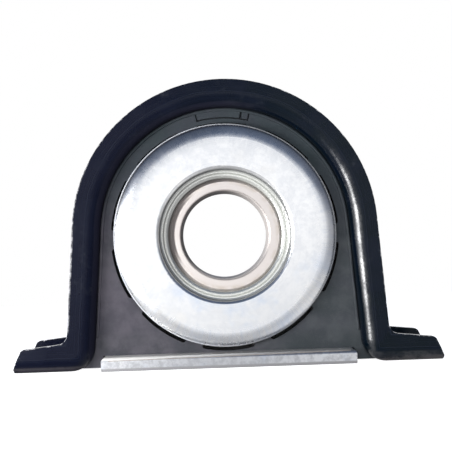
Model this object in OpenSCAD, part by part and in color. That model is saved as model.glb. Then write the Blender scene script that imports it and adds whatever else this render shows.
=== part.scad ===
// Driveshaft centre bearing: a sealed ball bearing in a rubber cushion, carried by a pressed steel hoop.
// The shaft runs along Y through the origin, the front faces -Y and the feet stand on a plane below.
// Modules draw the front view in X and Y with Z towards the viewer, and upright() turns that into place.

/* [Bearing] */
// Bore of the inner ring, which the shaft is pressed into
bore_d = 45; // [40:0.5:48]
// Length of the extended inner ring
inner_len = 28; // [25:0.5:32]
// Width of the outer ring
bearing_w = 19; // [17:0.5:21]
// Diameter of a ball
ball_d = 12.7; // [11.5:0.1:13.5]
// Number of balls
ball_count = 9; // [7:1:10]
// Metal between a ball groove and the back of its ring
race_floor = 3.65; // [2.5:0.05:4]
// Depth of a ball groove below its shoulders
groove_depth = 2.6; // [2:0.1:3]
// Radius of a ball groove as a share of the ball diameter
groove_ratio = 0.52; // [0.515:0.005:0.53]
// Chamfer on the ends of the inner ring
inner_chamfer = 0.9; // [0.3:0.1:1.5]
// Chamfer on the outer corners of the outer ring
outer_chamfer = 1.2; // [1.1:0.1:1.6]
// Chamfer on the inner corners of the outer ring
edge_break = 0.2; // [0.1:0.1:0.3]

/* [Cage and seals] */
// Sheet of a cage half
cage_t = 1; // [0.6:0.1:1.1]
// Radial width of the cage ribbon
cage_w = 4.6; // [4:0.1:5]
// Play between a ball and its pocket
pocket_play = 0.12; // [0.05:0.01:0.2]
// Shank diameter of a cage rivet
rivet_d = 2; // [1.4:0.1:2.2]
// Head diameter of a cage rivet
rivet_head_d = 3.4; // [2.6:0.1:3.6]
// Head height of a cage rivet
rivet_head_h = 0.7; // [0.4:0.1:1]
// Thickness of a seal
seal_t = 1.1; // [0.8:0.1:1.3]
// How far a seal sits below the face of the outer ring
seal_inset = 0.3; // [0.1:0.05:0.5]
// Radial step in the outer ring that a seal snaps into
seal_step = 1.8; // [1:0.1:2.2]

/* [Retainer] */
// Sheet of the two retainer cups round the outer ring
retainer_t = 1.6; // [1.2:0.1:2]
// Inside bend radius of a retainer cup
retainer_bend = 1; // [0.6:0.1:1]
// How far a retainer lip covers the face of the outer ring
retainer_lip = 2.7; // [2:0.1:3.5]

/* [Slinger] */
// Outside diameter of the slinger shields
slinger_d = 114; // [106:1:120]
// Sheet of the slingers
slinger_t = 1.5; // [1.2:0.1:1.7]
// Diameter of the slinger's flat face, where its rim starts to curl
slinger_face_d = 100; // [92:1:104]
// Diameter of the neck where the face drops to the ledge
neck_d = 67; // [65:0.5:70]
// Height of the face above the ledge
slinger_step = 5; // [4:0.1:7]
// Bend radius from the face into the neck
neck_bend = 2; // [1.8:0.1:3.5]
// Bend radius from the neck into the ledge
ledge_bend = 1; // [0.6:0.1:1.5]
// Inside bend radius from the ledge into the collar
collar_bend_in = 0.5; // [0.3:0.1:1]
// How far the ledge stands proud of the inner ring's end
ledge_proud = 0.5; // [0.2:0.1:1]
// Width of the line pressed round the ledge
ledge_line = 0.8; // [0.4:0.1:1]
// Axial gap between a slinger's rim and the cushion
rim_gap = 3; // [2:0.1:4]
// Axial gap between a slinger's collar and the outer ring
collar_gap = 0.7; // [0.4:0.1:1.2]

/* [Cushion] */
// Width of the rubber cushion along the shaft
cushion_w = 24; // [23:0.5:26]
// Number of slots round the bearing
slot_count = 10; // [8:1:12]
// Angle of the rib left between two slots
rib_angle = 9; // [7:0.5:12]
// Rubber between the retainer and the slots
slot_wall = 4.4; // [3:0.1:6]
// Rubber between the slots and the nearer of the hoop and the strip
slot_floor = 0.6; // [0.5:0.1:3]
// How far the ring of slots sits below the shaft
slot_drop = 0.7; // [0:0.1:1]
// Corner radius of a slot
slot_corner = 1.5; // [0.5:0.1:2.5]
// How far the cushion's lower corners stop above the base
corner_lift = 0.8; // [0.8:0.1:3]
// Height of the two bare pads moulded on the front face
pad_h = 0.4; // [0.3:0.1:1]
// Radial height of those pads
pad_r = 4; // [2:0.1:4.4]
// Rubber between those pads and the hoop
pad_margin = 0.8; // [0.3:0.1:1]
// Width of the groove round a pad
pad_frame = 0.7; // [0.3:0.1:0.8]
// Depth of the groove round a pad
pad_sink = 1; // [0.3:0.1:1.5]
// First angle of the long pad
long_pad_from = 81; // [80:0.5:90]
// Angle that the long pad spans
long_pad_span = 21; // [10:0.5:24]
// Angle that the short pad spans
short_pad_span = 3; // [2:0.5:6]
// Angle between the two pads
pad_space = 1; // [0.5:0.5:3]

/* [Hoop bracket] */
// Inside diameter of the hoop
hoop_d = 128; // [124:1:134]
// Height of the hoop's centre above the shaft
hoop_rise = 1.7; // [0:0.1:2]
// Outside diameter of the flanges round the hoop
flange_d = 154.5; // [152:0.5:160]
// Width of the bracket along the shaft
bracket_w = 44; // [40:0.5:50]
// Steel sheet of the bracket
sheet_t = 3.5; // [2.5:0.1:4]
// Outside bend radius between web and flanges
bend_r = 7; // [5:0.1:8]
// Straight run of a flange next to that bend
flange_run = 1; // [0.6:0.1:2]
// Height of the shaft above the base
axis_h = 67; // [64:0.5:72]
// Angle that each leg leans outwards
leg_splay = 4.23; // [1:0.01:6]
// Outside bend radius from a leg into its foot
heel_r = 12; // [9:0.5:14]
// Overall width across the feet
feet_span = 218; // [210:1:230]
// Height of the foot flanges above the base, at their ends
foot_flange = 12.3; // [10:0.1:13]
// Angle that the top of a foot flange falls towards its end
foot_fall = 6; // [0:0.5:9]
// Fillet between a leg flange and a foot flange
flange_fillet = 6; // [3:0.5:9]
// How far a foot flange's end leans back
foot_lean = 4.5; // [2:0.5:8]
// Height above the base where that end starts to lean
foot_toe = 2.4; // [1.8:0.1:2.8]
// Corner radius at the end of a foot flange
foot_corner = 3; // [1:0.5:4]

/* [Bolt slots] */
// Distance between the two bolt slots
bolt_span = 193.7; // [190:0.1:196]
// Width of a bolt slot
bolt_slot_w = 13.5; // [11:0.5:14.5]
// Length of a bolt slot
bolt_slot_len = 16; // [15:0.5:18]

/* [Base strip] */
// Length of the zinc-plated strip under the cushion
strip_len = 129.2; // [122:0.1:134]
// Height of the strip
strip_h = 6.9; // [5:0.1:7.5]
// Sheet of the strip
strip_t = 1.6; // [1.2:0.1:2]
// Edge radius along the strip
strip_edge = 2; // [2:0.1:2.5]
// Corner radius at the strip's ends
strip_corner = 2.2; // [2:0.1:3.2]
// How far the strip sits inside the bracket's front and rear faces
strip_inset = 0.3; // [0:0.1:1]

/* [Fits] */
// Clearance between pieces that are pressed or bonded together
seat_gap = 0.02; // [0.01:0.01:0.05]
// Clearance of running surfaces
run_gap = 0.03; // [0.02:0.01:0.05]

/* [Hidden] */
$fn = 96;
housing_nodes = ["bracket", "cushion", "base_strip", "front_slinger", "rear_slinger",
                 "front_retainer", "rear_retainer"];
bearing_nodes = ["outer_ring", "inner_ring", "front_seal", "rear_seal",
                 "front_cage", "rear_cage", "cage_rivets"];
ball_nodes = [for (i = [1:ball_count]) str("ball_", i)];

// A corner's arc swells by this share, so that it breaks out of both edges at a clear angle
corner_swell = 1.01;

// Radii and planes of the bearing
bore_r = bore_d / 2;
ball_r = ball_d / 2;
pitch_r = bore_r + race_floor + run_gap + ball_r;
shoulder_in = bore_r + race_floor + groove_depth;
shoulder_out = pitch_r + ball_r + run_gap - groove_depth;
outer_r = pitch_r + ball_r + run_gap + race_floor;
groove_r = groove_ratio * ball_d;
ring_face = bearing_w / 2;
inner_face = inner_len / 2;
seal_r = shoulder_out + seal_step;
ball_pitch = 360 / ball_count;

// Retainer, cushion and slots
cup_in = outer_r + seat_gap;
cup_out = cup_in + retainer_t;
cushion_bore = cup_out + seat_gap;
cushion_face = cushion_w / 2;
cushion_r = hoop_d / 2 - seat_gap;
slot_pitch = 360 / slot_count;
slot_in = cushion_bore + slot_wall;
slot_out = min(hoop_d / 2, axis_h - strip_h - slot_drop) - slot_floor;
pad_out = cushion_r - pad_margin;
pad_in = pad_out - pad_r;
frame_turn = asin(pad_frame / pad_in);

// Slinger planes and radii, front faces first
collar_r = shoulder_in + seat_gap;
ledge_z = inner_face + ledge_proud;
face_z = ledge_z + slinger_step;
rim_z = cushion_face + rim_gap + slinger_t;
rim_w = (slinger_d - slinger_face_d) / 2;
rim_drop = face_z - rim_z;
rim_bend = (rim_w * rim_w + rim_drop * rim_drop) / (2 * rim_drop);
collar_bend = slinger_t + collar_bend_in;

// Hoop, legs and feet about the hoop's centre: a leg runs from the end of the arc down to the heel
hoop_h = axis_h + hoop_rise;
hoop_r = hoop_d / 2;
flange_r = flange_d / 2;
stub_h = bend_r + flange_run;
base_y = -hoop_h;
foot_top = base_y + foot_flange;
tip_x = feet_span / 2;
across = [cos(leg_splay), sin(leg_splay)];
down = [sin(leg_splay), -cos(leg_splay)];
leg_len = (hoop_r * across.y + hoop_h - heel_r * (1 - across.y)) / across.x;
heel_c = (hoop_r + heel_r) * across + leg_len * down;
strip_top = base_y + strip_h;
strip_w = bracket_w - 2 * strip_inset;

// End of a foot flange: the normals of its falling top and leaning edge, and its rounded corner's centre
lean_h = foot_flange - foot_toe;
lean_top = [tip_x - foot_lean, foot_top];
top_normal = [sin(foot_fall), cos(foot_fall)];
edge_normal = [lean_h, foot_lean] / sqrt(foot_lean * foot_lean + lean_h * lean_h);
corner_scale = foot_corner / (top_normal.x * edge_normal.y - top_normal.y * edge_normal.x);
corner_c = lean_top + corner_scale * [top_normal.y - edge_normal.y, edge_normal.x - top_normal.x];

// Centre of the fillet that lies outside the leg flange and above the foot flange
fillet_side = (flange_r + flange_fillet) * across;
fillet_run = ((fillet_side - lean_top) * top_normal - flange_fillet) / cos(leg_splay + foot_fall);
fillet_c = fillet_side + fillet_run * down;

black_paint = [0.11, 0.12, 0.16];
rubber_grey = [0.29, 0.29, 0.30];
zinc = [0.82, 0.83, 0.86];
ring_steel = [0.74, 0.71, 0.70];
ball_steel = [0.80, 0.80, 0.82];
seal_black = [0.12, 0.12, 0.12];

// Turns a front view, with Z towards the viewer, into the standing part
module upright() {
    rotate([90, 0, 0]) children();
}

// Revolves a section given as radius and height towards the front
module revolve() {
    rotate_extrude() children();
}

// Both hands of a piece, the right as drawn and the left mirrored
module both_sides() {
    for (hand = [0, 1]) mirror([hand, 0, 0]) children();
}

// Triangle from the centre that covers the angles between from and to
module wedge(from, to, reach) {
    polygon([[0, 0], reach * [cos(from), sin(from)], reach * [cos(to), sin(to)]]);
}

// Part of a flat ring between two angles
module ring_sector(r_in, r_out, from, to) {
    intersection() {
        difference() {
            circle(r_out);
            circle(r_in);
        }
        wedge(from, to, 2 * r_out);
    }
}

// Ring sector about the X axis with rounded corners
module rounded_sector(r_in, r_out, span, r) {
    mid = (r_in + r_out) / 2;
    inner_turn = asin(r / (r_in + r));
    outer_turn = asin(r / (r_out - r));
    inner_half = span / 2 - inner_turn;
    outer_half = span / 2 - outer_turn;
    ring_sector(r_in + r, r_out - r, -span / 2, span / 2);
    ring_sector(r_in, mid, -inner_half, inner_half);
    ring_sector(mid, r_out, -outer_half, outer_half);
    for (side = [-1, 1]) {
        rotate(side * inner_half) translate([r_in + r, 0]) circle(corner_swell * r);
        rotate(side * outer_half) translate([r_out - r, 0]) circle(corner_swell * r);
    }
}

// Quarter or part bend of a sheet about a centre in its section
module sheet_bend(centre, r_in, t, from, to) {
    translate(centre) ring_sector(r_in, r_in + t, from, to);
}

// Rectangle from one corner to the other
module plate(from, to) {
    translate(from) square(to - from);
}

// Rectangle whose two corners on the left are rounded
module left_rounded(h, w, r) {
    intersection() {
        plate([0, -w / 2], [h, w / 2]);
        union() {
            plate([r, -w / 2], [h + r, w / 2]);
            plate([0, r - w / 2], [h + r, w / 2 - r]);
            for (side = [-1, 1]) translate([r, side * (w / 2 - r)]) circle(r);
        }
    }
}

// Channel section of the bracket: the web stands on Y, the flanges start along X
module channel() {
    difference() {
        left_rounded(stub_h, bracket_w, bend_r);
        translate([sheet_t, 0]) left_rounded(stub_h, bracket_w - 2 * sheet_t, bend_r - sheet_t);
    }
}

// Right half of the hoop's arc, turned by a right angle up from the leg and cut on the centre plane
module half_arc() {
    reach = 2 * flange_r;
    difference() {
        rotate([0, 0, leg_splay]) rotate_extrude(angle = 90) translate([hoop_r, 0]) channel();
        translate([-reach, 0, -bracket_w]) cube([reach, reach, 2 * bracket_w]);
    }
}

// Puts its children at the centre of the right heel's bend, square to the leg
module at_heel() {
    rotate([0, 0, leg_splay]) translate([hoop_r + heel_r, -leg_len, 0]) children();
}

// Right leg, from the end of the arc down to the heel
module leg() {
    rotate([0, 0, leg_splay]) rotate([90, 0, 0]) translate([hoop_r, 0, 0])
        linear_extrude(leg_len) channel();
}

// Right heel, the channel turned by a right angle from the leg and cut where the foot starts
module heel() {
    reach = 2 * heel_r;
    at_heel() difference() {
        rotate_extrude(angle = 90, start = 180) translate([heel_r, 0]) mirror([1, 0]) channel();
        rotate([0, 0, -leg_splay]) translate([0, -reach, -bracket_w])
            cube([reach, reach, 2 * bracket_w]);
    }
}

// Right foot, with its flanges still square at the end
module foot() {
    at_heel() rotate([0, 0, -leg_splay]) translate([0, -heel_r, 0]) rotate([90, 0, 90])
        linear_extrude(tip_x - heel_c.x) channel();
}

// Front view of everything inside the hoop, grown outwards from the web by a margin
module hoop_inside(margin) {
    r = hoop_r + margin;
    low = base_y + margin;
    on_heel = heel_c - (heel_r - margin) * across;
    half = [r * across, on_heel, heel_c, [heel_c.x, low], [tip_x, low], [tip_x, low - hoop_h]];
    last = len(half) - 1;
    difference() {
        union() {
            circle(r);
            polygon(concat(half, [for (i = [last:-1:0]) [-half[i].x, half[i].y]]));
        }
        both_sides() translate(heel_c) circle(heel_r - margin);
    }
}

// Front view of a flange: round the hoop, down the legs and along the feet, with a fillet above each foot
module flange_plate() {
    on_leg = fillet_c - flange_fillet * across;
    on_foot = fillet_c - flange_fillet * top_normal;
    tip_top = [tip_x, foot_top - foot_lean * tan(foot_fall)];
    half = [flange_r * across, on_leg, fillet_c, on_foot, tip_top, [tip_x, base_y]];
    last = len(half) - 1;
    difference() {
        union() {
            circle(flange_r);
            polygon(concat(half, [for (i = [last:-1:0]) [-half[i].x, half[i].y]]));
        }
        both_sides() translate(fillet_c) circle(flange_fillet);
        hoop_inside((bend_r + stub_h) / 2);
    }
}

// What is cut from the end of a foot's flanges, above the foot plate
module foot_end_cut() {
    over = foot_top + foot_flange;
    above = 2 * foot_corner * top_normal;
    beyond = 2 * foot_corner * edge_normal;
    polygon([[tip_x, base_y + foot_toe], lean_top, [lean_top.x, over], [tip_x + foot_lean, over]]);
    translate(corner_c) difference() {
        polygon([[0, 0], above, above + beyond, beyond]);
        circle(corner_swell * foot_corner);
    }
}

// Slot for a mounting bolt, through the right foot plate
module bolt_slot() {
    half = (bolt_slot_len - bolt_slot_w) / 2;
    depth = 4 * sheet_t;
    translate([bolt_span / 2, base_y, 0]) rotate([90, 0, 0]) {
        for (side = [-1, 1])
            translate([side * half, 0, 0]) cylinder(d = bolt_slot_w, h = depth, center = true);
        cube([2 * half, bolt_slot_w, depth], center = true);
    }
}

module bracket() {
    color(black_paint) upright() translate([0, hoop_rise, 0]) difference() {
        union() {
            both_sides() {
                half_arc();
                leg();
                heel();
                foot();
            }
            for (face = [-bracket_w / 2, bracket_w / 2 - sheet_t])
                translate([0, 0, face]) linear_extrude(sheet_t) flange_plate();
        }
        both_sides() {
            linear_extrude(2 * bracket_w, center = true) foot_end_cut();
            bolt_slot();
        }
    }
}

// Front view of the cushion: it fills the hoop, and its lower corners reach round the strip's ends
module cushion_outline() {
    heel_gap = heel_r + seat_gap;
    low = base_y + corner_lift;
    leg_top = cushion_r * across;
    leg_foot = heel_c - heel_gap * across;
    half = [leg_top, leg_foot, heel_c, [heel_c.x, low]];
    difference() {
        union() {
            circle(cushion_r);
            polygon(concat(half, [for (i = [3:-1:0]) [-half[i].x, half[i].y]]));
        }
        both_sides() translate(heel_c) circle(heel_gap);
        plate([-strip_len / 2 - seat_gap, base_y], [strip_len / 2 + seat_gap, strip_top + seat_gap]);
        translate([0, -hoop_rise]) circle(cushion_bore);
        translate([0, -hoop_rise - slot_drop]) for (i = [0:slot_count - 1])
            rotate(90 + i * slot_pitch)
                rounded_sector(slot_in, slot_out, slot_pitch - rib_angle, slot_corner);
    }
}

module cushion() {
    long_pad = [long_pad_from, long_pad_from + long_pad_span];
    short_pad = [long_pad_from - pad_space - short_pad_span, long_pad_from - pad_space];
    pads = [long_pad, short_pad];
    groove_z = cushion_face - pad_sink;
    color(rubber_grey) upright() translate([0, hoop_rise, 0]) {
        difference() {
            linear_extrude(cushion_w, center = true) cushion_outline();
            translate([0, 0, groove_z]) linear_extrude(2 * pad_sink) for (pad = pads)
                ring_sector(pad_in - pad_frame, pad_out + pad_frame,
                            pad[0] - frame_turn, pad[1] + frame_turn);
        }
        translate([0, 0, groove_z]) linear_extrude(pad_sink + pad_h) for (pad = pads)
            ring_sector(pad_in, pad_out, pad[0], pad[1]);
    }
}

// Bar with two rounded top corners, standing on the base
module crowned_bar(len, h, r) {
    translate([0, h]) rotate(-90) left_rounded(h, len, r);
}

// Solid of the strip's outside, drawn in by an inset
module strip_block(inset) {
    h = strip_h - inset;
    intersection() {
        linear_extrude(2 * strip_w, center = true)
            crowned_bar(strip_len - 2 * inset, h, strip_corner - inset);
        rotate([0, 90, 0]) linear_extrude(2 * strip_len, center = true)
            crowned_bar(strip_w - 2 * inset, h, strip_edge - inset);
    }
}

module base_strip() {
    color(zinc) upright() translate([0, -axis_h, 0]) difference() {
        strip_block(0);
        strip_block(strip_t);
    }
}

// Section of a slinger, from its curled rim over the face and neck to the collar on the inner ring
module slinger_section() {
    face_r = slinger_face_d / 2;
    neck_r = neck_d / 2;
    rim_turn = atan2(rim_w, rim_bend - rim_drop);
    t = slinger_t;
    sheet_bend([face_r, face_z - rim_bend], rim_bend - t, t, 90 - rim_turn, 90);
    plate([neck_r + neck_bend, face_z - t], [face_r, face_z]);
    sheet_bend([neck_r + neck_bend, face_z - neck_bend], neck_bend - t, t, 90, 180);
    plate([neck_r, ledge_z + ledge_bend], [neck_r + t, face_z - neck_bend]);
    sheet_bend([neck_r - ledge_bend, ledge_z + ledge_bend], ledge_bend, t, 270, 360);
    plate([collar_r + collar_bend, ledge_z - t], [neck_r - ledge_bend, ledge_z]);
    sheet_bend([collar_r + collar_bend, ledge_z - collar_bend], collar_bend - t, t, 90, 180);
    plate([collar_r, ring_face + collar_gap], [collar_r + t, ledge_z - collar_bend]);
}

module slinger() {
    half = ledge_line / 2;
    line_r = (collar_r + collar_bend + neck_d / 2 - ledge_bend) / 2;
    color(zinc) revolve() difference() {
        slinger_section();
        polygon([[line_r - ledge_line, ledge_z + half], [line_r, ledge_z - half],
                 [line_r + ledge_line, ledge_z + half]]);
    }
}

module front_slinger() {
    upright() slinger();
}

module rear_slinger() {
    upright() mirror([0, 0, 1]) slinger();
}

// One retainer cup: a wall round half of the outer ring and a lip over its face
module retainer() {
    lip_z = ring_face + seat_gap;
    bend = retainer_bend;
    color(zinc) revolve() {
        plate([cup_in, seat_gap], [cup_out, lip_z - bend]);
        sheet_bend([cup_in - bend, lip_z - bend], bend, retainer_t, 0, 90);
        plate([outer_r - retainer_lip, lip_z], [cup_in - bend, lip_z + retainer_t]);
    }
}

module front_retainer() {
    upright() retainer();
}

module rear_retainer() {
    upright() mirror([0, 0, 1]) retainer();
}

// Ring section with its four corners chamfered, cut by the ball groove
module ring_section(r_in, r_out, half, cut_in, cut_out, groove_c) {
    difference() {
        polygon([
            [r_in + cut_in, -half], [r_out - cut_out, -half],
            [r_out, -half + cut_out], [r_out, half - cut_out],
            [r_out - cut_out, half], [r_in + cut_in, half],
            [r_in, half - cut_in], [r_in, -half + cut_in],
        ]);
        translate([groove_c, 0]) circle(groove_r);
    }
}

module inner_ring() {
    groove_c = bore_r + race_floor + groove_r;
    color(ring_steel) upright() revolve()
        ring_section(bore_r, shoulder_in, inner_face, inner_chamfer, inner_chamfer, groove_c);
}

module outer_ring() {
    groove_c = outer_r - race_floor - groove_r;
    seal_floor = ring_face - seal_inset - seal_t;
    color(ring_steel) upright() revolve() difference() {
        ring_section(shoulder_out, outer_r, ring_face, edge_break, outer_chamfer, groove_c);
        for (side = [-1, 1]) scale([1, side]) plate([0, seal_floor], [seal_r, bearing_w]);
    }
}

// Seal disc that snaps into the outer ring and runs on the inner ring with a thin lip
module seal() {
    low = ring_face - seal_inset - seal_t + seat_gap;
    high = ring_face - seal_inset;
    lip_r = shoulder_in + run_gap;
    lip_h = seal_t / 2;
    color(seal_black) revolve() polygon([
        [lip_r, high], [lip_r, high - lip_h / 2], [lip_r + lip_h, low], [seal_r - seat_gap, low],
        [seal_r - seat_gap, high - lip_h / 2], [seal_r - lip_h, high],
    ]);
}

module front_seal() {
    upright() seal();
}

module rear_seal() {
    upright() mirror([0, 0, 1]) seal();
}

// Places its children at every ball, or between the balls with an offset of half a pitch
module round_the_cage(offset_angle = 0) {
    for (i = [0:ball_count - 1])
        rotate(90 + offset_angle + i * ball_pitch) translate([pitch_r, 0, 0]) children();
}

// Sphere with its poles along X
module ball_shape(r) {
    rotate([0, 90, 0]) sphere(r);
}

module cage_band(h) {
    linear_extrude(h) difference() {
        circle(pitch_r + cage_w / 2);
        circle(pitch_r - cage_w / 2);
    }
}

// Ribbon half with a dome over each ball and a flat land with a rivet hole between
module cage_half() {
    pocket = ball_r + pocket_play;
    color(ring_steel) {
        intersection() {
            cage_band(ball_d);
            round_the_cage() difference() {
                ball_shape(pocket + cage_t);
                ball_shape(pocket);
            }
        }
        difference() {
            cage_band(cage_t);
            round_the_cage() ball_shape(pocket + cage_t / 2);
            round_the_cage(ball_pitch / 2)
                cylinder(d = rivet_d + 2 * seat_gap, h = 4 * cage_t, center = true);
        }
    }
}

module front_cage() {
    upright() cage_half();
}

module rear_cage() {
    upright() mirror([0, 0, 1]) cage_half();
}

module cage_rivets() {
    color(ball_steel) upright() round_the_cage(ball_pitch / 2) {
        cylinder(d = rivet_d, h = 2 * cage_t + rivet_head_h, center = true);
        for (side = [0, 1]) mirror([0, 0, side]) translate([0, 0, cage_t + seat_gap])
            cylinder(d = rivet_head_d, h = rivet_head_h);
    }
}

module ball(i) {
    color(ball_steel) upright()
        rotate(90 + (i - 1) * ball_pitch) translate([pitch_r, 0, 0]) sphere(ball_r);
}

bracket();
cushion();
base_strip();
front_slinger();
rear_slinger();
front_retainer();
rear_retainer();
outer_ring();
inner_ring();
front_seal();
rear_seal();
front_cage();
rear_cage();
cage_rivets();
for (i = [1:ball_count]) ball(i);
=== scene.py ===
# %% [markdown]
# # A driveshaft centre bearing, finished in Blender
# The part carries the middle of a truck's propeller shaft. A pressed steel hoop holds a rubber cushion,
# the cushion holds a sealed ball bearing, and a dished zinc shield on each side throws off water.
# The solids come in as a fixed frame in metres, so a piece that is given its real size is in its place.

# %% Load the frame
import bpy
from math import cos, radians, sin, tan
from mathutils import Matrix, Vector


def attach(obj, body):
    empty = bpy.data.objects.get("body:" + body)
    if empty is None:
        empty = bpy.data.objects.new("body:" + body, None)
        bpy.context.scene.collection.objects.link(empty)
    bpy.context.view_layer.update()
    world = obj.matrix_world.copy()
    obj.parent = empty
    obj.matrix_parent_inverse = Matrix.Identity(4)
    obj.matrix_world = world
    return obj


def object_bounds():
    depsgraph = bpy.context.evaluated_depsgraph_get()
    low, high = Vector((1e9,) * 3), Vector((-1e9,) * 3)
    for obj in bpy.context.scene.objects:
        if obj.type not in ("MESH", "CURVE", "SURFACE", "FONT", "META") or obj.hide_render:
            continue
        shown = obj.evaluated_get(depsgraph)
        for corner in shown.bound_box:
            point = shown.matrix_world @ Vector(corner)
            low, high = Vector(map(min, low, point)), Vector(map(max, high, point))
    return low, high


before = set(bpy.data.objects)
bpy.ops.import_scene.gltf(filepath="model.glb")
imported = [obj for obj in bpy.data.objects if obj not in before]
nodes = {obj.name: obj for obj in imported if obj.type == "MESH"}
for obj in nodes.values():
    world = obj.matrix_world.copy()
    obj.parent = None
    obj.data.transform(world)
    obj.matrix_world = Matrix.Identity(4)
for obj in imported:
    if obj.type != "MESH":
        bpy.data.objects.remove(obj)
cad_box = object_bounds()
bpy.ops.object.select_all(action="DESELECT")
print("nodes:", len(nodes), "box:", cad_box)

# %% [markdown]
# ## The camera
# The photograph looks straight down the bore from a little under half a metre away. A camera is three
# things here: where it stands, what it is aimed at, and how far it is rolled, since the feet run uphill
# to the right by about two degrees. The lens follows from the picture: 863 pixels of focal length in a
# frame of 452 pixels is 68.7 mm on a 36 mm sensor.

# %% Camera
MM = 0.001
eye = Vector((-4.0, -457.0, -4.0)) * MM
aim = Vector((0.8, 0.0, 4.8)) * MM
roll = radians(1.9)

lens = bpy.data.cameras.new("photo_lens")
lens.lens = 68.7
lens.sensor_width = 36.0
lens.clip_start = 0.01
camera = bpy.data.objects.new("photo_camera", lens)
bpy.context.scene.collection.objects.link(camera)
sight = (aim - eye).normalized()
camera.matrix_world = (Matrix.Translation(eye) @ sight.to_track_quat("-Z", "Y").to_matrix().to_4x4()
                       @ Matrix.Rotation(-roll, 4, "Z"))
bpy.context.scene.camera = camera
print("camera:", [round(v, 4) for v in camera.location])

# %% [markdown]
# ## Shader maths
# A finish is a tree of small nodes. Wiring each sum by hand hides what is meant, so one small class wraps
# a socket and turns Python's operators into Math nodes. Its other method adds any node: first the type,
# then its settings, then the values or links of its sockets.

# %% A socket that can be calculated with
class Wire:
    """One output in a finish's node tree."""

    def __init__(self, tree, socket=None):
        self.tree = tree
        self.socket = socket

    def node(self, kind, settings=None, sockets=None, out=0):
        made = self.tree.nodes.new("ShaderNode" + kind)
        for name, value in (settings or {}).items():
            if name == "stops":
                for i, (at, colour) in enumerate(value):
                    stop = made.color_ramp.elements[i] if i < 2 else made.color_ramp.elements.new(at)
                    stop.position = at
                    stop.color = (*colour, 1.0)
            else:
                setattr(made, name, value)
        for name, value in (sockets or {}).items():
            if isinstance(value, Wire):
                self.tree.links.new(value.socket, made.inputs[name])
            else:
                made.inputs[name].default_value = value
        return Wire(self.tree, made.outputs[out]) if made.outputs else None

    def maths(self, operation, *values):
        return self.node("Math", {"operation": operation}, dict(enumerate(values)))

    def __add__(self, other):
        return self.maths("ADD", self, other)

    def __sub__(self, other):
        return self.maths("SUBTRACT", self, other)

    def __rsub__(self, other):
        return self.maths("SUBTRACT", other, self)

    def __mul__(self, other):
        return self.maths("MULTIPLY", self, other)

    def __truediv__(self, other):
        return self.maths("DIVIDE", self, other)

    def __pow__(self, other):
        return self.maths("POWER", self, other)

    __radd__ = __add__
    __rmul__ = __mul__


print("operators:", sorted(n for n in vars(Wire) if n.startswith("__r")))

# %% [markdown]
# ## Patterns that all the finishes share
# Every pattern is laid out in millimetres on the part itself, from Object coordinates, so a zone's limits
# are real sizes, and a noise of scale 0.5 changes about every 2 mm. Noise gives mottling, noise along one
# measure gives lines or circles, and a smooth step picks out a zone. The bevelled normal differs from the
# plain one only near an edge, which shows where paint would be rubbed. Bright and dark zones follow the
# one photograph, so some of what is painted here as stain, oil or dust may be light and shade there.

# %% Start of a finish
def new_finish(name):
    material = bpy.data.materials.new(name)
    material.use_nodes = True
    material.node_tree.nodes.clear()
    start = Wire(material.node_tree)
    metres = start.node("TexCoord", out="Object")
    place = start.node("VectorMath", {"operation": "SCALE"}, {0: metres, "Scale": 1000.0})
    return material, start, place


def split(vector):
    first = vector.node("SeparateXYZ", sockets={0: vector})
    return [Wire(vector.tree, out) for out in first.socket.node.outputs]


print("helpers: a new finish, and the three parts of a place in mm")

# %% Patterns
def noise(place, scale, detail=3.0, rough=0.55, **more):
    sockets = {"Vector": place, "Scale": scale, "Detail": detail, "Roughness": rough}
    return place.node("TexNoise", sockets=sockets | more)


def lines(along, scale, detail, rough=0.5):
    sockets = {"W": along, "Scale": scale, "Detail": detail, "Roughness": rough}
    return along.node("TexNoise", {"noise_dimensions": "1D"}, sockets)


def step(value, low, high):
    sockets = {"Value": value, "From Min": low, "From Max": high}
    return value.node("MapRange", {"interpolation_type": "SMOOTHSTEP"}, sockets)


def below(value, low, high):
    return 1.0 - step(value, low, high)


def larger(first, second):
    return first.maths("MAXIMUM", first, second)


def mix(factor, first, second):
    colours = [c if isinstance(c, Wire) else (*c, 1.0) for c in (first, second)]
    return factor.node("Mix", {"data_type": "RGBA"}, {0: factor, 6: colours[0], 7: colours[1]}, out=2)


print("helpers: noise, lines, a smooth step up or down, the larger of two values, a mix of colours")

# %% Edges, bump and the shader
def edges(start, radius):
    worn = start.node("Bevel", {"samples": 4}, {"Radius": radius * MM})
    plain = start.node("NewGeometry", out="Normal")
    return 1.0 - start.node("VectorMath", {"operation": "DOT_PRODUCT"}, {0: worn, 1: plain}, out="Value")


def bump(start, height, strength, distance):
    return start.node("Bump", sockets={"Height": height, "Strength": strength, "Distance": distance * MM})


def finish_with(start, **sockets):
    titles = {name: name.replace("_", " ").title().replace("Ior", "IOR") for name in sockets}
    named = {titles[name]: value for name, value in sockets.items()}
    shader = start.node("BsdfPrincipled", sockets=named)
    start.node("OutputMaterial", sockets={"Surface": shader})


def dress(material, *names):
    for name in names:
        slots = nodes[name].data.materials
        slots.clear()
        slots.append(material)
    print(material.name, "on", ", ".join(names))


print("helpers: worn edges, a bump, one shader for a finish, and dressing nodes in it")
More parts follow.
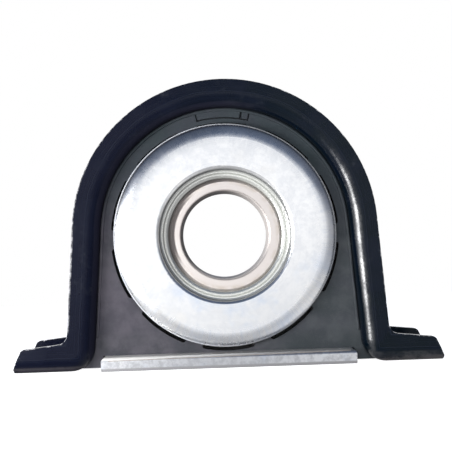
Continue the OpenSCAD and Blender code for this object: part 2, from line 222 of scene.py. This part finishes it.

# %% [markdown]
# ## Black paint on the hoop
# The hoop is dipped in glossy black paint with a blue cast. The film is uneven, so its gloss wanders, it
# is scuffed grey where the hoop was handled, and on sheared edges steel shows through in chips. More chips
# sit on the left, where they are partly a painted highlight, and a broken painted highlight runs along the
# left flange's outer edge. An image could hold all this, but zones worked out from the hoop's own sizes
# stay sharp. The distance outwards from the web follows the arch and both legs. Along it lie fine lines
# from working the sheet, shown lighter as partly a painted reflection, a dusty zone in the left inner
# bend, and a thicker, glossier film in the right one. Wide, low dents in the bump bend the reflections,
# and the feet are painted grey underneath and on their low edges as a painted reflection of the floor,
# most on the left.

# %% Places on the hoop
hoop_r, hoop_rise, splay = 64.0, 1.7, radians(4.23)
base_drop = -cad_box[0][2] / MM

paint, start, place = new_finish("black_paint")
x, _, z = split(place)
rise = z - hoop_rise
above = larger(rise, 0.0)
off_web = (x * x + above * above) ** 0.5 - hoop_r - tan(splay) * (above - rise)
off_web = off_web.maths("MINIMUM", off_web, z + base_drop)
print("web of the hoop:", hoop_r, "mm from a centre", hoop_rise, "mm up")
print("feet:", round(base_drop, 1), "mm down")

# %% Wear of the paint
cloud = noise(place, 0.06, 4.0)
grit = noise(place, 0.9, 3.0)
drawn_lines_and_sheen = lines(off_web + 2.5 * cloud, 0.9, 4.0, 0.65)
# Painted highlight: the left side, where the light falls, gets more bright chips, and the left flange's
# outer edge gets a broken bright line.
lit_left_side = below(x, -75.0, -20.0)
left_edge_highlight = step(off_web, 12.5, 13.1) * lit_left_side * step(z, -48.0, -44.0) * below(z, 5.0, 45.0)
chip_and_edge_highlight = step(edges(start, 0.8), 0.03, 0.16) * step(noise(place, 0.4, 4.0) + 0.06 * lit_left_side, 0.55, 0.62)
chip_and_edge_highlight = larger(chip_and_edge_highlight, left_edge_highlight * step(noise(place, 0.7, 4.0, 0.7), 0.38, 0.7) * 0.8)
scuff = step(noise(place, 0.05, 6.0, 0.75), 0.54, 0.76)
# Painted reflection: the low edges and undersides of the feet are painted grey, as the floor mirrored in
# them, broken by noise and stronger on the left.
painted_floor_reflection = below(z, -65.2, -63.2) * step(noise(place, 0.09, 4.0, 0.7) + 0.12 * lit_left_side, 0.36, 0.62)
dusty = below(off_web, 1.4, 2.8) * below(x, 0.0, 30.0)
right_bend = step(off_web, 2.0, 3.2) * below(off_web, 4.6, 6.2) * step(x, 45.0, 62.0)
thick = right_bend * step(grit, 0.2, 0.6)
thick = thick * (0.22 + 0.4 * step(noise(place, 0.08, 3.0), 0.38, 0.62))
# Of these zones, the dirt is the grey painted reflection of the floor on the feet, and the chips on the
# left are partly a painted highlight.
print("zones of the paint: chips, scuffs, dirt, dust and a thick film")

# %% Black paint
film = mix(step(x, -60.0, 60.0), (0.001, 0.0018, 0.0075), (0.0008, 0.003, 0.0055))
film = mix(step(cloud, 0.4, 0.7) * 0.5, film, (0.0022, 0.0036, 0.0105))
# Lines along the sheet, painted lighter and bluer: partly real marks in the paint, partly a painted
# reflection along the hoop.
film = mix(step(drawn_lines_and_sheen, 0.5, 0.75) * 0.7, film, (0.006, 0.0085, 0.016))
film = mix(scuff * 0.6, film, (0.016, 0.018, 0.024))
film = mix(painted_floor_reflection * 0.8, film, (0.04, 0.037, 0.04))
film = mix(dusty * 0.6, film, (0.008, 0.008, 0.016))
colour = mix(chip_and_edge_highlight, film, (0.5, 0.5, 0.52))
gloss = 0.1 + 0.1 * cloud + 0.12 * drawn_lines_and_sheen + 0.16 * scuff + 0.15 * chip_and_edge_highlight + 0.25 * painted_floor_reflection + 0.5 * dusty
peel = noise(place, 0.45, 2.0) * 0.4 + grit * 0.2 + drawn_lines_and_sheen * 0.4
dent = noise(place, 0.06, 1.0)
finish_with(start, base_color=colour, roughness=gloss, metallic=chip_and_edge_highlight * 0.8, coat_weight=thick,
            coat_roughness=0.26, coat_ior=1.9,
            normal=bump(start, 0.06 * peel + dent, 0.5, 0.8), specular_ior_level=0.135)
dress(paint, "bracket")

# %% [markdown]
# ## Rubber of the cushion and of the seals
# Moulded rubber is dark grey and nearly matt, here with a cold blue-green cast. The lower part is painted
# paler as painted light, most on the left, and the top darker as painted shade under the hoop, with soft
# mottling, and it is darker in places along the strip. What lies between the two end faces, such as the
# walls of the slots, is painted nearly black as painted shade. A layer of dust could be a second shader,
# but one rough shader with a fine grain in its bump is enough, because rubber has no clear reflection. The
# seals get a plainer, darker rubber of their own.

# %% Rubber
def absolute(value):
    return value.maths("ABSOLUTE", value)


rubber, start, place = new_finish("cushion_rubber")
x, y, z = split(place)
# Painted shade: everything between the two end faces, such as the slot walls, is painted nearly black.
painted_recess_shade = below(absolute(y), 11.3, 11.8)
cloud = noise(place, 0.035, 5.0)
blot = noise(place, 0.13, 4.0, 0.6)
grain = noise(place, 1.6, 3.0)
tone = mix(step(cloud, 0.3, 0.7), (0.008, 0.012, 0.0145), (0.02, 0.0205, 0.028))
# Painted light and shade: the lower cushion is painted paler, most on the left where the light falls, and
# the top darker, as painted shade under the hoop.
painted_light_low = mix(step(x, -20.0, 50.0), (0.073, 0.066, 0.079), (0.048, 0.053, 0.057))
light_and_shade_tone = mix(step(z, -10.0, 40.0), painted_light_low, (0.019, 0.027, 0.03))
tone = mix(0.3 + step(blot, 0.36, 0.7) * 0.3, tone, light_and_shade_tone)
damp = below(z, -56.0, -46.0) * step(cloud, 0.4, 0.6)
tone = mix(damp * 0.5, tone, (0.012, 0.018, 0.018))
tone = mix(step(grain, 0.5, 0.75) * 0.4, tone, (0.042, 0.044, 0.046))
tone = mix(painted_recess_shade * 0.8, tone, (0.003, 0.003, 0.004))
finish_with(start, base_color=tone, roughness=0.6 + 0.25 * cloud,
            normal=bump(start, grain * 0.7 + blot * 0.3, 0.25, 0.25), specular_ior_level=0.2)
dress(rubber, "cushion")

seal_rubber, start, place = new_finish("seal_rubber")
grain = noise(place, 1.2, 3.0)
finish_with(start, base_color=mix(grain, (0.012, 0.012, 0.012), (0.022, 0.022, 0.023)),
            roughness=0.5 + 0.2 * grain, normal=bump(start, grain, 0.15, 0.15))
dress(seal_rubber, "front_seal", "rear_seal")

# %% [markdown]
# ## Bead of rubber along the hoop
# The cushion is moulded into the hoop, and a little rubber is squeezed out along the joint, where it
# leaves a soft, uneven bead. A bevelled curve could follow the joint too. Here a small ring of points is
# spun round the hoop's centre and then extruded down both legs, as by hand, because the points can be
# shaken a little before they are smoothed. One bead is modelled, and the rear one is its mirrored copy.

# %% Front bead
hoop_centre = Vector((0.0, 0.0, hoop_rise)) * MM
bead_r, path_r, bead_y, leg_run = 0.85 * MM, 63.1 * MM, -12.1 * MM, 58.0 * MM
arch_steps, leg_steps, merge_within, shake = 44, 12, 0.01 * MM, 0.16 * MM
begin = hoop_centre + Vector((path_r * cos(splay), bead_y, path_r * sin(splay)))
bpy.ops.mesh.primitive_circle_add(vertices=10, radius=bead_r, location=begin, rotation=(0.0, -splay, 0.0))
bead = bpy.context.object
bead.name = "front_bead"
bpy.ops.object.transform_apply(location=True, rotation=True, scale=True)


def select_ring(piece, centre, reach):
    bpy.ops.object.mode_set(mode="EDIT")
    bpy.ops.mesh.select_mode(type="VERT")
    bpy.ops.mesh.select_all(action="DESELECT")
    bpy.ops.object.mode_set(mode="OBJECT")
    for point in piece.data.vertices:
        point.select = (point.co - centre).length < reach
    bpy.ops.object.mode_set(mode="EDIT")


right_down = Vector((sin(splay), 0.0, -cos(splay))) * leg_run
left_down = Vector((-right_down.x, 0.0, right_down.z))
far_end = Vector((-begin.x, begin.y, begin.z))
select_ring(bead, begin, 2 * bead_r)
bpy.ops.mesh.spin(steps=arch_steps, angle=radians(180.0) - 2 * splay, center=hoop_centre,
                  axis=(0.0, 1.0, 0.0))
for start_at, run in ((begin, right_down), (far_end, left_down)):
    for part in range(leg_steps):
        select_ring(bead, start_at + run * (part / leg_steps), 2 * bead_r)
        bpy.ops.mesh.extrude_region_move(TRANSFORM_OT_translate={"value": run / leg_steps})
    bpy.ops.mesh.edge_face_add()
bpy.ops.mesh.select_all(action="SELECT")
bpy.ops.mesh.remove_doubles(threshold=merge_within)
bpy.ops.transform.vertex_random(offset=shake, uniform=0.3, normal=0.5, seed=6)
bpy.ops.mesh.normals_make_consistent(inside=False)
bpy.ops.object.mode_set(mode="OBJECT")
rounded = bead.modifiers.new("round", "SUBSURF")
rounded.levels = rounded.render_levels = 1
bpy.ops.object.modifier_apply(modifier=rounded.name)
bpy.ops.object.shade_smooth()
bead.data.materials.append(rubber)
print(bead.name, len(bead.data.polygons), "faces", [round(v * 1000, 1) for v in bead.dimensions], "mm")

# %% Rear bead, and both carried by the housing
bpy.ops.object.duplicate(linked=False)
rear_bead = bpy.context.object
rear_bead.name = "rear_bead"
bpy.ops.object.mode_set(mode="EDIT")
bpy.ops.mesh.select_all(action="SELECT")
bpy.ops.transform.resize(value=(1.0, -1.0, 1.0), center_override=(0.0, 0.0, 0.0))
bpy.ops.mesh.normals_make_consistent(inside=False)
bpy.ops.object.mode_set(mode="OBJECT")
for piece in (bead, rear_bead):
    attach(piece, "housing")
bpy.ops.object.select_all(action="DESELECT")
print(rear_bead.name, [round(v * 1000, 1) for v in rear_bead.bound_box[0]], "mm")

# %% [markdown]
# ## Zinc plate on the shields and on the strip
# The shields are pressed from sheet and plated with bright zinc. The plate keeps a cloudy spangle, a
# trace of blue and straw colour, and fine rings from pressing, and towards the bottom it is painted dimmer
# and bluer as painted shade. The radius from the shaft picks out the neck and ledge, which are painted
# duller and a little green as shade in the recess and darker on the left as a painted shadow, the dark
# line painted as shade at the neck's wall, and the cut edge of the rim, painted light on the left and dark
# on the right. Noise that changes fast round the shaft and slowly outwards gives brush marks towards the
# rim, and the upper left of the rim is painted grey as a dark reflection. An image of real plate would
# show seams on a round pressing, so noise makes the plate, and its zones are worked out from the distance
# and direction from the shaft. The strip's top edge is rolled: above a slanting crease its plate carries a
# painted highlight, brighter and warmer towards the left, the crease is painted dark as painted shade, and
# a grey line of painted shade runs along its bottom edge.

# %% Bright zinc
def radius_of(x, z):
    return (x * x + z * z) ** 0.5


def towards(x, z, across, up):
    return (across * x + up * z) / radius_of(x, z)


def zinc_patterns(name, spangle):
    material, start, place = new_finish(name)
    flake = noise(place, spangle, 4.0, 0.65)
    tint = noise(place, 0.045, 3.0)
    # Painted shade: towards the bottom the spangle is dimmer and the blue tint stronger.
    low = below(split(place)[2], -45.0, 15.0)
    tone = mix(step(flake, 0.34, 0.68) * (1.0 - 0.6 * low), (0.8, 0.815, 0.84), (0.94, 0.945, 0.95))
    tone = mix(step(tint, 0.5, 0.68) * low * 0.7, tone, (0.6, 0.69, 0.84))
    tone = mix(below(tint, 0.28, 0.44) * 0.3, tone, (0.9, 0.87, 0.81))
    return material, start, place, flake, tone


print("helpers: distance and direction from the shaft, and the spangle of zinc")

# %% Zinc plate on the shields
neck_r, brush_r = 33.5, 45.0

shield, start, place, flake, tone = zinc_patterns("shield_zinc", 0.24)
x, _, z = split(place)
radius = radius_of(x, z)
cloud = noise(place, 0.05, 4.0, Distortion=0.6)
# Painted shade: the neck and ledge are painted duller and a little green all round as shade in the recess,
# and darker on the left as a painted shadow of the neck's wall.
neck = below(radius, 33.0, 34.6)
tone = mix(neck * 0.8, tone, (0.56, 0.57, 0.53))
tone = mix(neck * step(towards(x, z, -0.95, 0.3), 0.0, 0.9) * 0.6, tone, (0.26, 0.26, 0.26))
# Painted shade: a dark line at the neck's wall, where the step is shaded.
wall = below(absolute(radius - neck_r), 0.15, 0.45)
tone = mix(wall * 0.9, tone, (0.07, 0.075, 0.08))
around = {0: brush_r * x / radius, 1: 0.12 * radius, 2: brush_r * z / radius}
spokes = start.node("CombineXYZ", sockets=around)
brushed = noise(spokes, 0.8, 2.0) * step(radius, 44.0, 51.0)
tone = mix(step(brushed, 0.4, 0.75) * 0.35, tone, (0.6, 0.67, 0.8))
# Painted reflection: the upper left of the rim is painted grey as a dark reflection, broken by the brush
# marks.
painted_dark_rim = step(towards(x, z, -0.6, 0.8), 0.7, 1.0) * step(radius, 44.5, 52.0)
painted_dark_rim = painted_dark_rim * (0.75 + 0.5 * (brushed - 0.5))
tone = mix(painted_dark_rim * 0.7, tone, (0.33, 0.35, 0.4))
burr = step(radius, 56.2, 56.8)
# Painted highlight and shade: the rim's cut edge is painted light on the left and dark on the right.
edge_lit_left_dark_right = mix(step(x, -30.0, 30.0), (0.3, 0.31, 0.34), (0.03, 0.033, 0.042))
tone = mix(burr * 0.9, tone, edge_lit_left_dark_right)
pressed = lines(radius, 1.4, 3.0)
finish_with(start, base_color=tone, metallic=1.0 - 0.9 * burr - 0.15 * neck - 0.8 * wall,
            roughness=0.18 + 0.1 * cloud + 0.08 * (flake - 0.5) + 0.1 * brushed + 0.4 * burr,
            normal=bump(start, flake * 0.5 + pressed * 0.5, 0.1, 0.2), specular_ior_level=0.1)
dress(shield, "front_slinger", "rear_slinger", "front_retainer", "rear_retainer")

# %% Zinc plate on the strip
crease_drop, crease_slope = 61.05, 0.0106

strip, start, place, flake, tone = zinc_patterns("strip_zinc", 0.35)
x, _, z = split(place)
above = z + crease_drop - crease_slope * x
crease = below(absolute(above), 0.1, 0.3) * below(absolute(x), 60.5, 62.0)
dull = below(absolute(x + 4.0), 8.0, 60.0)
tone = mix(0.25 + 0.6 * step(flake, 0.35, 0.65), tone, (0.44, 0.45, 0.48))
tone = mix(dull * 0.4, tone, (0.36, 0.37, 0.4))
# Painted highlight: above the crease the rolled top is painted bright and warm, brightest on the left.
rolled = step(above, 0.1, 0.5)
painted_top_highlight = mix(step(x, -70.0, 20.0), (0.93, 0.91, 0.86), (0.42, 0.41, 0.4))
tone = mix(rolled * 0.85, tone, painted_top_highlight)
# Painted shade: a grey line along the strip's bottom edge.
tone = mix(below(z, -65.9, -65.2), tone, (0.36, 0.36, 0.37))
# Painted shade: the crease is painted dark brown.
tone = mix(crease * 0.8, tone, (0.2, 0.16, 0.12))
finish_with(start, base_color=tone, metallic=1.0 - 0.5 * crease - 0.5 * rolled,
            roughness=0.3 + 0.12 * flake + 0.2 * crease,
            normal=bump(start, flake * 0.3 - crease, 0.15, 0.2))
dress(strip, "base_strip")

# %% [markdown]
# ## Bearing steel
# The rings are hard steel, ground all round, so light draws fine circles on them. The end of the inner
# ring is bright with a warm cast and tarnished towards its outer edge. Its bore, chamfers and the groove
# round it are painted dark as painted shade, most of all on the upper left, where a painted shadow of the
# shield's neck also darkens its outer edge. A wave pattern would make the circles all alike. A
# one-dimensional noise that is read along the radius gives circles that are never quite even, as a
# grinding wheel leaves them. The cage is duller, and the balls are polished.

# %% Ground rings
def steel_patterns(name, dark, light):
    material, start, place = new_finish(name)
    x, y, z = split(place)
    circles = lines(radius_of(x, z) + y, 5.0, 2.0)
    cloud = noise(place, 0.12, 3.0)
    return material, start, place, circles, cloud, mix(cloud * 0.6 + circles * 0.4, dark, light)


rings, start, place, circles, cloud, tone = steel_patterns(
    "ring_steel", (0.78, 0.71, 0.68), (0.92, 0.87, 0.83))
x, _, z = split(place)
radius = radius_of(x, z)
# Painted shade: the bore, its chamfers and the groove round the ring are painted dark, most on the upper
# left, and a painted shadow of the neck falls across the ring's outer edge on the left.
shade_side = 0.45 + 0.55 * step(towards(x, z, -0.87, 0.5), -0.3, 0.7)
ring_shade = step(towards(x, z, -0.98, 0.17), 0.5, 0.95) * step(radius, 25.2, 26.3)
ring_shade = larger(ring_shade, shade_side * below(radius, 22.8, 23.3))
ring_shade = larger(ring_shade, step(radius + 1.2 * shade_side, 28.1, 28.6) * (0.3 + 0.7 * shade_side))
tarnish = step(radius, 25.2, 27.6) * step(noise(place, 0.2, 4.0), 0.35, 0.65)
tone = mix(tarnish * 0.6, tone, (0.62, 0.54, 0.45))
tone = mix(ring_shade * 0.96, tone, (0.037, 0.032, 0.032))
finish_with(start, base_color=tone, metallic=1.0 - 0.8 * ring_shade, roughness=0.26 + 0.1 * cloud + 0.45 * ring_shade,
            normal=bump(start, circles, 0.12, 0.1), specular_ior_level=0.2)
dress(rings, "inner_ring", "outer_ring")

# %% Pressed cage and polished balls
cage, start, _, circles, cloud, tone = steel_patterns(
    "cage_steel", (0.5, 0.49, 0.47), (0.68, 0.67, 0.65))
finish_with(start, base_color=tone, metallic=1.0, roughness=0.34 + 0.1 * cloud,
            normal=bump(start, circles, 0.06, 0.1))
dress(cage, "front_cage", "rear_cage", "cage_rivets")

polish, start, _, _, cloud, tone = steel_patterns(
    "ball_steel", (0.74, 0.74, 0.76), (0.84, 0.84, 0.85))
finish_with(start, base_color=tone, metallic=1.0, roughness=0.06 + 0.1 * cloud)
dress(polish, *[f"ball_{i}" for i in range(1, 10)])

# %% [markdown]
# ## Floor and light
# The part stands on a plain pale floor in a pale room. The light in the photograph comes mostly from the
# left: it leaves one long streak on the right-hand bend of the hoop and whitens the left of the shield,
# while the top and the right of the rim stay grey. A wide soft panel and a narrower window on the left do
# that. A fill from the front lights the rubber and isn't mirrored in the metal. Cards of white and grey
# round the part could give the metal something to mirror, as in a studio. A room whose colour changes with
# height and side does the same with no extra pieces: bright round the horizon, dark above and on the
# right. The camera sees that room as plain white. The floor glows, so it looks as pale as the room, and
# it is hidden from all rays that would let it light the part.

# %% Floor
floor_r, floor_gap = 0.55, 0.2 * MM
bpy.ops.mesh.primitive_circle_add(vertices=96, radius=floor_r, fill_type="NGON",
                                  location=(0, 0, cad_box[0][2] - floor_gap))
floor = bpy.context.object
floor.name = "floor"
floor_paint, start, place = new_finish("pale_floor")
dust = noise(place, 0.002, 3.0)
white = mix(dust, (0.95, 0.95, 0.95), (1.0, 1.0, 1.0))
finish_with(start, base_color=white, roughness=0.9, emission_color=white, emission_strength=0.95)
floor.data.materials.append(floor_paint)
floor.visible_diffuse = floor.visible_glossy = False
bpy.ops.object.select_all(action="DESELECT")
print("floor at", round(floor.location.z, 4))

# %% Light
def panel(name, place, target, width, height, watts):
    light = bpy.data.lights.new(name, "AREA")
    light.shape = "RECTANGLE"
    light.size, light.size_y = width * MM, height * MM
    light.energy = watts
    lamp = bpy.data.objects.new(name, light)
    bpy.context.scene.collection.objects.link(lamp)
    lamp.location = Vector(place) * MM
    lamp.rotation_euler = (Vector(target) * MM - lamp.location).to_track_quat("-Z", "Y").to_euler()
    lamp.visible_camera = False
    print(name, [round(v, 3) for v in lamp.location], watts, "W")
    return lamp


panel("left_panel", (-377, -245, -40), (0, 0, -20), 380, 170, 2.8)
panel("left_window", (-330, -300, -40), (0, 0, -30), 130, 220, 1.6)
panel("front_fill", (0, -520, 40), (0, 0, 0), 400, 400, 4.2).visible_glossy = False

# %% Room
room = bpy.data.worlds.new("pale_room")
room.use_nodes = True
room.node_tree.nodes.clear()
start = Wire(room.node_tree)
seen = start.node("LightPath", out="Is Camera Ray")
x, _, z = split(start.node("TexCoord", out="Generated"))
walls = [(0.0, (0.45, 0.45, 0.46)), (0.3, (0.5, 0.5, 0.51)), (0.45, (0.78, 0.78, 0.79)),
         (0.52, (1.25, 1.25, 1.26)), (0.56, (1.2, 1.21, 1.23)), (0.63, (0.12, 0.16, 0.25)),
         (1.0, (0.07, 0.09, 0.13))]
tone = start.node("ValToRGB", {"stops": walls}, {"Fac": 0.5 + 0.5 * z})
left = below(x, -0.3, 0.2) * step(z, -0.4, 0.0) * below(z, 0.08, 0.24)
lower_sides = step(absolute(x), 0.1, 0.6) * below(z, -0.4, -0.1)
right = step(x, 0.25, 0.8) * step(z, -0.6, 0.0)
tone = mix(left, tone, (1.5, 1.5, 1.5))
tone = mix(lower_sides, tone, (0.85, 0.85, 0.86))
tone = mix(right * 0.75, tone, (0.12, 0.13, 0.16))
tone = mix(seen, tone, (1.0, 1.0, 1.0))
sky = start.node("Background", sockets={"Color": tone, "Strength": 1.0})
start.node("OutputWorld", sockets={"Surface": sky})
bpy.context.scene.world = room
bpy.context.scene.view_settings.view_transform = "Standard"
print("room:", len(walls), "stops from floor to ceiling")

# %% [markdown]
